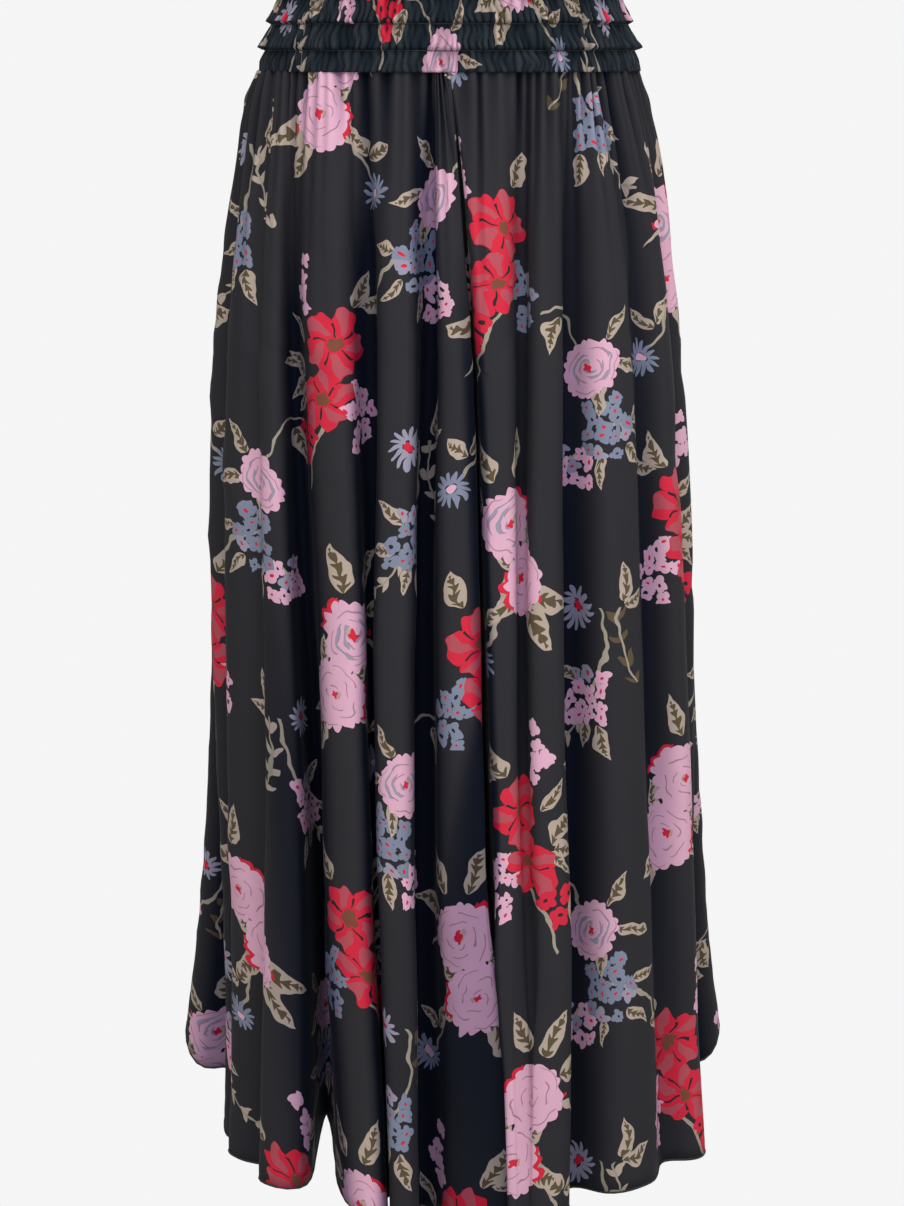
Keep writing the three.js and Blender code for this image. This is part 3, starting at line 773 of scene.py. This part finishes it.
def band_points(face, seed):
    """Half of the waistband: a superellipse ring at each drop, whose puffs stand out by their row's
    swell, with narrow upright gathers on them, pinched fine at the elastic."""
    drops = np.concatenate([*(np.linspace(*puff, endpoint=False) for puff in PUFFS), [BAND_HEIGHT]])
    facing = -1 if face == "front" else 1
    angle = np.linspace(0, np.pi, 601)
    half, depth = band_outline("half", drops)[:, None], band_outline(face, drops)[:, None]
    x = -half * signed_power(np.cos(angle), 2 / ROUNDNESS)
    y = facing * depth * np.abs(np.sin(angle)) ** (2 / ROUNDNESS)
    arc = np.concatenate([[0], np.cumsum(np.hypot(np.diff(x[0]), np.diff(y[0])))])
    gather = band_gathers(np.random.default_rng(seed), drops, arc)
    swell = np.interp(drops, BAND_ROWS["drop"], BAND_ROWS["out"])[:, None]
    swell = swell * (MIDDLE_SWELL + (1 - MIDDLE_SWELL) * np.abs(x) / half)
    relief = lerp(PINCHED_RELIEF, PUFF_RELIEF, np.clip(swell / FULL_SWELL, 0, 1))
    out = swell * lerp(VALLEY_SWELL, 1, gather) + relief * (gather - GATHER_MIDDLE) + BAND_OUT
    inside = np.clip(np.minimum(angle, angle[::-1]) / BAND_SEAM_TURN, 0, 1)
    out = out * inside + (1 - inside) * (swell * SEAM_SWELL + SEAM_OUT)
    out_x, out_y = x / half**2, y / depth**2
    size = np.hypot(out_x, out_y)
    outward = np.stack([out_x / size, out_y / size, np.zeros(x.shape)], -1)
    x, y = x + out * out_x / size, y + out * out_y / size
    points = np.stack([x, y, np.broadcast_to(-drops[:, None], x.shape)], -1)
    from_row = np.abs(drops[:, None] - np.array(ELASTIC_ROWS)).min(1)[:, None]
    # Shade painted between the gathers and beside the rows of elastic.
    painted_shade = np.clip(VALLEY_SHADE * (1 - gather) + ROW_SHADE * np.exp(-from_row / ROW_SHADE_REACH), 0, 1)
    return points, drops, arc, painted_shade, outward


bands = {}
elastic_lines = {}
for face, seed, start in (("front", 5, (3.3, 0.2)), ("back", 6, (4.4, 0.1))):
    points, drops, arc, painted_shades, outward = band_points(face, seed)
    flat = np.broadcast_arrays(SHIRRING * arc[None, :] * MM + start[0], (start[1] - drops * MM)[:, None])
    name, node = f"cloth_waistband_{face}", f"waistband_{face}"
    outwards = points * np.array([1, 1, 0])
    bands[face] = cloth_piece(name, points, outwards, np.stack(flat, -1), painted_shades, node)
    for row in ELASTIC_ROWS:
        elastic_lines[face, row] = points[list(drops).index(row)] + THREAD_OUT * outward[0]

hems = {}
for (face, half), line in hem_lines.items():
    hems[face, half] = cord_piece(f"rolled_hem_{face}_{half}", line, HEM_RADIUS, 8)

elastic = {"front": [], "back": []}
for (face, row), line in elastic_lines.items():
    elastic[face].append(cord_piece(f"elastic_row_{face}_{row}", line, THREAD_RADIUS, 5))

# ---- finishes ----


def srgb(red, green, blue):
    """A dye's colour, from the 0 to 255 of a colour card to the renderer's light values."""
    share = np.array([red, green, blue]) / 255
    light = np.where(share <= 0.04045, share / 12.92, ((share + 0.055) / 1.055) ** 2.4)
    return (*[float(value) for value in light], 1.0)


def operator(operation, swapped=False):
    """A method that adds a Math node to a number's finish."""

    def method(number, *others):
        values = (*others, number) if swapped else (number, *others)
        return number.math(operation, *values)

    return method


class Number:
    """A number that varies over the cloth. Python's arithmetic on it adds Math nodes to its finish; & is
    both of two masks, | is either, and times is by a factor and plus a number."""

    __add__ = __radd__ = operator("ADD")
    __sub__ = operator("SUBTRACT")
    __rsub__ = operator("SUBTRACT", swapped=True)
    __mul__ = __rmul__ = __and__ = operator("MULTIPLY")
    __or__ = operator("MAXIMUM")
    __truediv__ = operator("DIVIDE")
    __pow__ = operator("POWER")
    __lt__ = operator("LESS_THAN")
    __gt__ = operator("GREATER_THAN")
    __abs__ = operator("ABSOLUTE")
    __round__ = operator("ROUND")
    times = operator("MULTIPLY_ADD")
    sine = operator("SINE")
    cosine = operator("COSINE")
    fraction = operator("FRACT")

    def __init__(self, finish, socket):
        self.finish, self.socket = finish, socket

    def math(self, operation, *values):
        made = self.finish.node("Math", {"operation": operation}, dict(enumerate(values)))
        return Number(self.finish, made[0])

    def within(self, reach):
        """Wrapped into the range from -reach to reach."""
        return self.math("WRAP", self, reach, -reach)


class Finish:
    """A material, and the one way in which its nodes are made."""

    def __init__(self, name, roughness):
        self.material = bpy.data.materials.new(name)
        self.material.use_nodes = True
        self.shader = self.material.node_tree.nodes["Principled BSDF"]
        self.shader.inputs["Roughness"].default_value = roughness

    def link(self, value, socket):
        self.material.node_tree.links.new(getattr(value, "socket", value), socket)

    def node(self, kind, settings=None, inputs=None):
        made = self.material.node_tree.nodes.new("ShaderNode" + kind)
        for name, value in (settings or {}).items():
            setattr(made, name, value)
        for name, value in (inputs or {}).items():
            if isinstance(value, (Number, bpy.types.NodeSocket)):
                self.link(value, made.inputs[name])
            else:
                made.inputs[name].default_value = value
        return made.outputs

    def vector(self, operation, *values):
        made = self.node("VectorMath", {"operation": operation}, dict(enumerate(values)))
        return Number(self, made["Value"]) if operation == "LENGTH" else made["Vector"]

    def noise(self, place, scale, detail):
        """A noise over a place, as a value and as a colour of three."""
        inputs = {"Vector": place, "Scale": scale, "Detail": detail}
        made = self.node("TexNoise", {"noise_dimensions": "2D"}, inputs)
        return Number(self, made[0]), made[1]

    def parts(self, vector):
        made = self.node("SeparateXYZ", None, {0: vector})
        return Number(self, made[0]), Number(self, made[1])

    def join(self, x, y):
        return self.node("CombineXYZ", None, {0: x, 1: y})[0]

    def blend(self, first, second, mask, kind="MIX"):
        settings = {"data_type": "RGBA", "blend_type": kind, "clamp_result": kind == "SUBTRACT"}
        return self.node("Mix", settings, {0: mask, 6: first, 7: second})[2]


# The dyes, and the print's sizes in centimetres: bunches of one kind stand in columns, each dropped by
# half.
PINK = srgb(216, 168, 190)
LILAC = srgb(150, 146, 164)
SLATE = srgb(126, 132, 152)
RED = srgb(207, 42, 64)
CORAL = srgb(176, 79, 90)
TAUPE = srgb(176, 160, 146)
OLIVE = srgb(92, 79, 60)
STEM = srgb(158, 148, 133)
BROWN = srgb(122, 72, 56)
GROUND = srgb(44, 43, 47)
VEIN = srgb(164, 126, 136)
BAND_GROUND = srgb(40, 47, 53)
COLUMN = 22
REPEAT = 44


class Print(Finish):
    """Cloth printed in flat dyes with bunches of flowers, drawn one over another on a dark ground. Every
    motif is a mask in its own place in a bunch, and its outline is a function of the distance and the
    angle there, or of the length and the breadth."""

    def __init__(self, name, roughness, ground):
        super().__init__(name, roughness)
        uv = self.node("UVMap", {"uv_map": "cloth"})[0]
        self.flat = self.vector("MULTIPLY", uv, (100, 100, 0))
        hand = self.noise(self.flat, 0.55, 1.3)[1]
        self.drawn = self.vector("MULTIPLY_ADD", hand, (1.05, 1.05, 0), self.flat)
        self.colour = self.node("RGB")[0]
        self.colour.default_value = ground

    def over(self, mask, dye):
        self.colour = self.blend(self.colour, dye, mask)

    def bunch(self, x, y):
        """The place in the nearest bunch of a kind, the way to set a motif in it, and two chances of its
        own."""
        across, down = self.parts(self.vector("SUBTRACT", self.drawn, (x, y, 0)))
        column = round(across / COLUMN)
        lowered = column.times(-REPEAT / 2, down)
        row = round(lowered / REPEAT)
        which = self.join(column + 0.5 * y, row + 0.3 * x)
        chance = self.node("TexWhiteNoise", {"noise_dimensions": "2D"}, {"Vector": which})
        side = (Number(self, chance["Value"]) > 0.5).times(2, -1)
        place = self.join(column.times(-COLUMN, across) * side, row.times(-REPEAT, lowered))

        def spot(*where):
            return self.spot(place, *where)

        return place, spot, self.parts(chance["Color"])

    def spot(self, place, x, y, turn=0, size=1.0, breadth=None):
        return self.node(
            "Mapping",
            {"vector_type": "TEXTURE"},
            {
                "Vector": place,
                "Location": (x, y, 0),
                "Rotation": (0, 0, math.radians(turn)),
                "Scale": (size, breadth or size, 1),
            },
        )[0]

    def polar(self, spot):
        x, y = self.parts(spot)
        return self.vector("LENGTH", spot), y.math("ARCTAN2", y, x)

    def rose(self, spot, petal, swirl, under=None):
        """A full rose of radius 1: a scalloped edge, thin broken arcs and a soft swirl along one spiral,
        and a red heart over a taupe one."""
        far, angle = self.polar(spot)
        scallop = abs((angle * 8.5).sine()).times(0.11, 0.89)
        if under is not None:
            self.over((far < scallop * 1.13) & ((angle * 1.5 + 0.6).sine() > 0.72), under)
        spiral = far.times(4.1, angle * (1 / (2 * math.pi))).fraction()
        broken = (angle.times(4, far * 8.5)).sine()
        self.over(far < scallop, petal)
        if swirl != petal:
            self.over((spiral < 0.36) & ((angle.times(2, far * 5)).sine() > -0.2) & (far < 0.7), swirl)
        self.over((spiral > 0.86) & (broken < 0.3) & (far < 0.88) & (far > 0.16), VEIN)
        self.over(self.vector("LENGTH", self.vector("SUBTRACT", spot, (0.1, 0.04, 0))) < 0.11, TAUPE)
        self.over(far < broken.times(0.03, 0.12), RED)

    def poppy(self, spot):
        """A ragged open flower of radius 1: five petals, red and coral, with dark slits and a brown
        eye."""
        far, angle = self.polar(spot)
        between = abs((angle * 2.5).sine())
        ragged = (angle.times(11, far * 3)).sine().times(0.05, between**0.5 * 0.3)
        self.over(far < ragged + 0.66, RED)
        inner = far < ragged + 0.64
        streaked = angle.times(0.8, far * 0.55).fraction() > 0.6
        self.over(inner & streaked & (far > 0.3), CORAL)
        self.over((between < 0.16) & (far > 0.22) & (far < 0.62), GROUND)
        self.over(far < between.times(0.05, 0.17), BROWN)

    def florets(self, place):
        """Scattered four-petalled florets: their middles, the masks of their petals and eyes, and a
        chance."""
        inputs = {"Vector": place, "Scale": 0.88, "Randomness": 0.62}
        made = self.node("TexVoronoi", {"voronoi_dimensions": "2D"}, inputs)
        local = self.vector("SUBTRACT", place, made["Position"])
        far, angle = self.polar(local)
        chance = self.parts(made["Color"])[0]
        lobes = abs(angle.times(2, chance * 6).sine())
        return self.vector("SUBTRACT", place, local), far < lobes.times(0.27, 0.44), far < 0.13, chance

    def head(self, florets, x, y, wide, tall, dye, second, turn=0, eyes=True):
        """A flower head made of the florets whose middles lie in an ellipse."""
        middles, petals, eye, chance = florets
        inside = self.vector("LENGTH", self.spot(middles, x, y, turn, wide, tall)) < 1
        self.over(inside & petals, self.blend(dye, second, chance > 0.7) if second else dye)
        if eyes:
            self.over(inside & eye, self.blend(GROUND, RED, chance > 0.35))

    def blade(self, along, off, breadth, there):
        """A pointed leaf, from 0 to 1 along its length. Its breadth is a power of the way from the base
        times one of the way to the tip, and slanting veins fray the olive along its midrib."""
        side = abs(off)
        edge = along**0.62 * (1 - along) ** 1.12 * breadth
        self.over(there(side < edge * 3.1), TAUPE)
        veins = along.times(31, side * (-8 / breadth)).sine()
        self.over(there((side < edge * veins.times(0.75, 1.05)) & (along < 0.86)), OLIVE)

    def leaf(self, spot, breadth=0.2, bend=0.1):
        along, aside = self.parts(spot)
        self.blade(along, (along * (1 - along)).times(-4 * bend, aside), breadth, lambda mask: mask)

    def fan(self, spot, count, start, length, breadth, keep):
        """Leaves all round a point, one to each equal angle, and only those on the side that keep
        gives."""
        far, angle = self.polar(spot)
        folded = angle.within(math.pi / count)
        along = (folded.cosine() * far - start) / length
        kept = (angle + keep).cosine() > 0.1
        self.blade(along, folded.sine() * far / length, breadth / length, lambda mask: mask & kept)

    def stem(self, spot, bend=0.3, thick=0.022):
        along, aside = self.parts(spot)
        bow = along * (1 - along)
        self.over((abs(bow.times(-4 * bend, aside)) < thick) & (bow > 0), STEM)

    def star(self, spot, dye, heart):
        """A cornflower of radius 1: thin ragged rays round an open middle."""
        far, angle = self.polar(spot)
        rays = abs((angle.times(6.5, far * 1.7)).sine()).times(0.55, 0.42)
        self.over((far < rays) & ((far > 0.3) | ((angle * 4).sine() > 0.2)), dye)
        self.over(far < 0.24, heart)

    def blossoms(self, spot, count, apart):
        """Small red flowers round a point, each with five petals and a dark eye."""
        far, angle = self.polar(spot)
        folded = angle.within(math.pi / count)
        near, turn = self.polar(self.join(folded.cosine() * far - apart, folded.sine() * far))
        self.over(near < abs((turn * 2.5).sine()).times(0.28, 0.66), RED)
        self.over(near < 0.2, GROUND)

    def sprig(self, spot, dye):
        """Small leaves in pairs along a bent stem: one leaf is drawn once for each step, and mirrored."""
        along, aside = self.parts(spot)
        off = (along * along).times(-0.08, aside)
        step = (along * 0.75).fraction() * 1.33
        side = abs(off)
        length = (step + side) * 0.7
        breadth = (side - step) * 0.7 + 0.25
        bow = length * (1.1 - length)
        there = abs(along) < 2.4
        self.over((abs(breadth) < bow * 0.62) & there, dye)
        self.over((side < 0.07) & there, STEM)

    def flowers(self):
        # a pair of large roses, with leaves and a cornflower
        _, spot, (chance, _) = self.bunch(0, 0)
        self.stem(spot(-1.5, -2, -115, 6.5), 0.12)
        self.leaf(spot(-3.2, -5.6, 40, 2.6), 0.24)
        self.leaf(spot(-3.4, -5.8, 150, 2.4), 0.22)
        self.star(spot(-4.4, -8.4, 0, 1.5), SLATE, PINK)
        self.fan(spot(-0.8, 3.2, 20), 7, 2.4, 3.7, 0.85, -2.0)
        self.fan(spot(1.6, -3.0, 200), 6, 2.3, 2.7, 0.6, 1.2)
        self.leaf(spot(2.6, -3.6, -20, 4.2), 0.25, 0.05)
        self.leaf(spot(2.4, -4.2, -62, 4.0), 0.27, -0.06)
        self.rose(spot(1.2, -2.6, 150, 2.6, 2.9), PINK, PINK, RED)
        self.rose(spot(-0.6, 2.0, 0, 2.9, 2.8), PINK, self.blend(PINK, LILAC, chance > 0.5), RED)

        # red poppies over a slate flower head, with small blossoms and a pale spire
        place, spot, (chance, _) = self.bunch(0, 22)
        florets = self.florets(place)
        self.stem(spot(0, -3, -62, 7), 0.1)
        self.fan(spot(2.0, 0.4, 0), 7, 2.0, 2.9, 0.5, 0.3)
        self.blossoms(spot(3.6, -5.4, 30), 3, 1.1)
        self.head(florets, 2.7, 6.4, 0.95, 2.7, PINK, None, 18, eyes=False)
        self.head(florets, -2.4, -3.4, 1.7, 2.7, self.blend(SLATE, PINK, chance > 0.5), None)
        self.poppy(spot(1.1, -2.1, 60, 2.3, 3.0))
        self.poppy(spot(-0.2, 2.2, 10, 2.9, 2.8))
        self.leaf(spot(-2.0, 5.0, 120, 3.1), 0.27)
        self.leaf(spot(3.4, -0.6, 35, 3.2), 0.25)
        self.leaf(spot(3.5, -1.0, -30, 2.9), 0.23)

        # slate and pink flower heads round a swirled rose, with curved stems
        place, spot, _ = self.bunch(11, 11)
        florets = self.florets(place)
        self.stem(spot(-1, -2, -140, 7), -0.2)
        self.stem(spot(1.5, 4, 30, 5.5), 0.25)
        self.leaf(spot(5.0, 6.2, -70, 3.0), 0.3)
        self.leaf(spot(-5.6, -5.2, 200, 3.0), 0.22)
        self.fan(spot(-1.0, -2.2, 15), 7, 2.5, 2.4, 0.5, 2.4)
        self.head(florets, -1.2, -2.4, 2.2, 2.7, SLATE, LILAC)
        self.head(florets, 2.4, -5.4, 2.4, 2.0, PINK, LILAC)
        self.fan(spot(-0.4, 3.0, 50), 5, 1.6, 3.0, 0.6, -2.6)
        self.rose(spot(0.2, 2.2, 40, 2.2, 2.6), PINK, LILAC)

        # smaller sprays: a cornflower, a pink or slate head, and leafy sprigs
        place, spot, (chance, other) = self.bunch(11, 33)
        florets = self.florets(place)
        self.stem(spot(0.5, -1, 100, 7), 0.15)
        self.sprig(spot(-2.6, 2.6, 70, 1.35), self.blend(TAUPE, OLIVE, other > 0.5))
        self.sprig(spot(3.2, -5.0, -40, 1.1), TAUPE)
        self.fan(spot(0.4, -1.2, 40), 6, 1.9, 2.3, 0.5, 1.0)
        self.star(spot(1.6, 5.6, 20, 1.7), LILAC, RED)
        self.head(florets, 0.6, -1.4, 2.2, 2.5, self.blend(PINK, SLATE, chance > 0.66), LILAC)
        self.leaf(spot(-0.6, -3.6, -110, 2.8), 0.25)
        self.leaf(spot(-2.6, 6.0, 160, 2.6), 0.26)
        self.leaf(spot(-2.5, 6.4, 95, 3.0), 0.22)


def hollow_shade(finish, dim, shadow):
    """Paints the folds' shade into the base colour: dims the dyes in the recesses, and then takes a little
    light off them all, which leaves the dark ground nearly black."""
    painted_shade = finish.node("Attribute", {"attribute_name": "painted_shade"})["Fac"]
    dimmed = finish.blend((1, 1, 1, 1), (*dim, 1), painted_shade)
    colour = finish.blend(finish.colour, dimmed, 1.0, "MULTIPLY")
    return finish.blend(colour, (*shadow, 1), painted_shade, "SUBTRACT")


THREADS = 2 * math.pi / 0.1  # radians in a centimetre
BUMP_DEPTH = 0.00012


def crepe(finish):
    """Crepe's pebbled weave in the bump, roughness and colour: threads half a millimetre apart,
    uneven."""
    x, y = finish.parts(finish.flat)
    threads = (x * THREADS).sine() * (y * THREADS).sine()
    pebbles = finish.noise(finish.flat, 14.0, 2.0)[0]
    patches = finish.noise(finish.flat, 0.35, 3.0)[0]
    height = threads.times(0.25, pebbles)
    bump = finish.node("Bump", None, {"Strength": 0.35, "Distance": BUMP_DEPTH, "Height": height})[0]
    finish.link(bump, finish.shader.inputs["Normal"])
    finish.link(patches.times(0.12, 0.72) + pebbles * 0.08, finish.shader.inputs["Roughness"])
    tone = pebbles.times(0.16, patches * 0.14) + 0.85
    return finish.node("VectorMath", {"operation": "SCALE"}, {0: finish.colour, "Scale": tone})["Vector"]


def printed_crepe(name, roughness, ground, dim, shadow):
    """A finished cloth: the flowers on their ground, the weave, and the shade painted into the folds."""
    finish = Print(name, roughness, ground)
    finish.flowers()
    finish.colour = crepe(finish)
    finish.link(hollow_shade(finish, dim, shadow), finish.shader.inputs["Base Color"])
    finish.shader.inputs["Specular IOR Level"].default_value = 0.13
    finish.shader.inputs["Sheen Weight"].default_value = 0.02
    finish.shader.inputs["Sheen Roughness"].default_value = 0.4
    return finish.material


def plain(name, colour, roughness):
    finish = Finish(name, roughness)
    finish.shader.inputs["Base Color"].default_value = (*colour, 1)
    return finish


# How far the shade painted in the recesses dims the dyes and takes off them, on the legs and on the band.
leg_dim, leg_shadow = (0.45, 0.47, 0.57), (0.0120, 0.0100, 0.0080)
band_dim, band_shadow = (0.42, 0.43, 0.46), (0.0105, 0.0108, 0.0108)
leg_finish = printed_crepe("printed crepe", 0.8, GROUND, leg_dim, leg_shadow)
band_finish = printed_crepe("printed crepe, shirred", 0.85, BAND_GROUND, band_dim, band_shadow)
thread = plain("black thread", (0.012, 0.013, 0.015), 0.7)
for piece in legs.values():
    piece.data.materials.append(leg_finish)
for piece in bands.values():
    piece.data.materials.append(band_finish)
for piece in [*hems.values(), *elastic["front"], *elastic["back"]]:
    piece.data.materials.append(thread.material)

# ---- the studio ----


def round_sweep(radius, floor_z, height, turn_radius):
    """A floor that turns up into a wall: two straight runs and a quarter circle, turned round the upright
    axis."""
    turn = np.linspace(0, math.pi / 2, 24)
    out = np.concatenate([[0.01], radius - turn_radius + turn_radius * np.sin(turn), [radius]])[:, None]
    z = np.concatenate([[floor_z], floor_z + turn_radius - turn_radius * np.cos(turn), [height]])[:, None]
    angle = np.linspace(0, 2 * math.pi, 97)
    points = np.stack(np.broadcast_arrays(out * np.cos(angle), out * np.sin(angle), z), -1)
    inwards = np.stack(np.broadcast_arrays(-points[..., 0], -points[..., 1], 1.0), -1)
    return grid_piece("studio_sweep", points / MM, inwards)


floor = round_sweep(radius=6, floor_z=-1.6, height=6, turn_radius=1.5)
paper = plain("studio paper", (0, 0, 0), 1)
paper.shader.inputs["Specular IOR Level"].default_value = 0
paper.shader.inputs["Emission Color"].default_value = (0.915, 0.915, 0.915, 1)
paper.shader.inputs["Emission Strength"].default_value = 1
floor.data.materials.append(paper.material)
floor.visible_diffuse = floor.visible_glossy = floor.visible_shadow = False

world = bpy.data.worlds.new("soft studio")
world.use_nodes = True
sky = world.node_tree.nodes["Background"].inputs
sky["Color"].default_value = (1, 1, 1, 1)
sky["Strength"].default_value = 0.42
bpy.context.scene.world = world

LAMP_SIZE = 3.0
LAMP_AIM = Vector((0, 0, -0.3))
for name, where, watts in (
    ("front softbox", (0.25, -1.25, 0.62), 45),
    ("back softbox", (0.2, 1.35, 0.62), 41),
):
    light = bpy.data.lights.new(name, "AREA")
    light.energy = watts
    light.size = LAMP_SIZE
    lamp = linked(name, light)
    lamp.location = where
    lamp.visible_camera = False
    lamp.rotation_euler = (LAMP_AIM - Vector(where)).to_track_quat("-Z", "Y").to_euler()

CAMERA_TILT = 10.63  # degrees down from level
camera_data = bpy.data.cameras.new("camera")
camera_data.lens = 89.55
camera_data.sensor_width = 36
camera = linked("camera", camera_data)
camera.location = (0.0016, -2.4, -0.057)
camera.rotation_euler = (math.radians(90 - CAMERA_TILT), 0, 0)
bpy.context.scene.camera = camera
bpy.context.scene.view_settings.view_transform = "Standard"
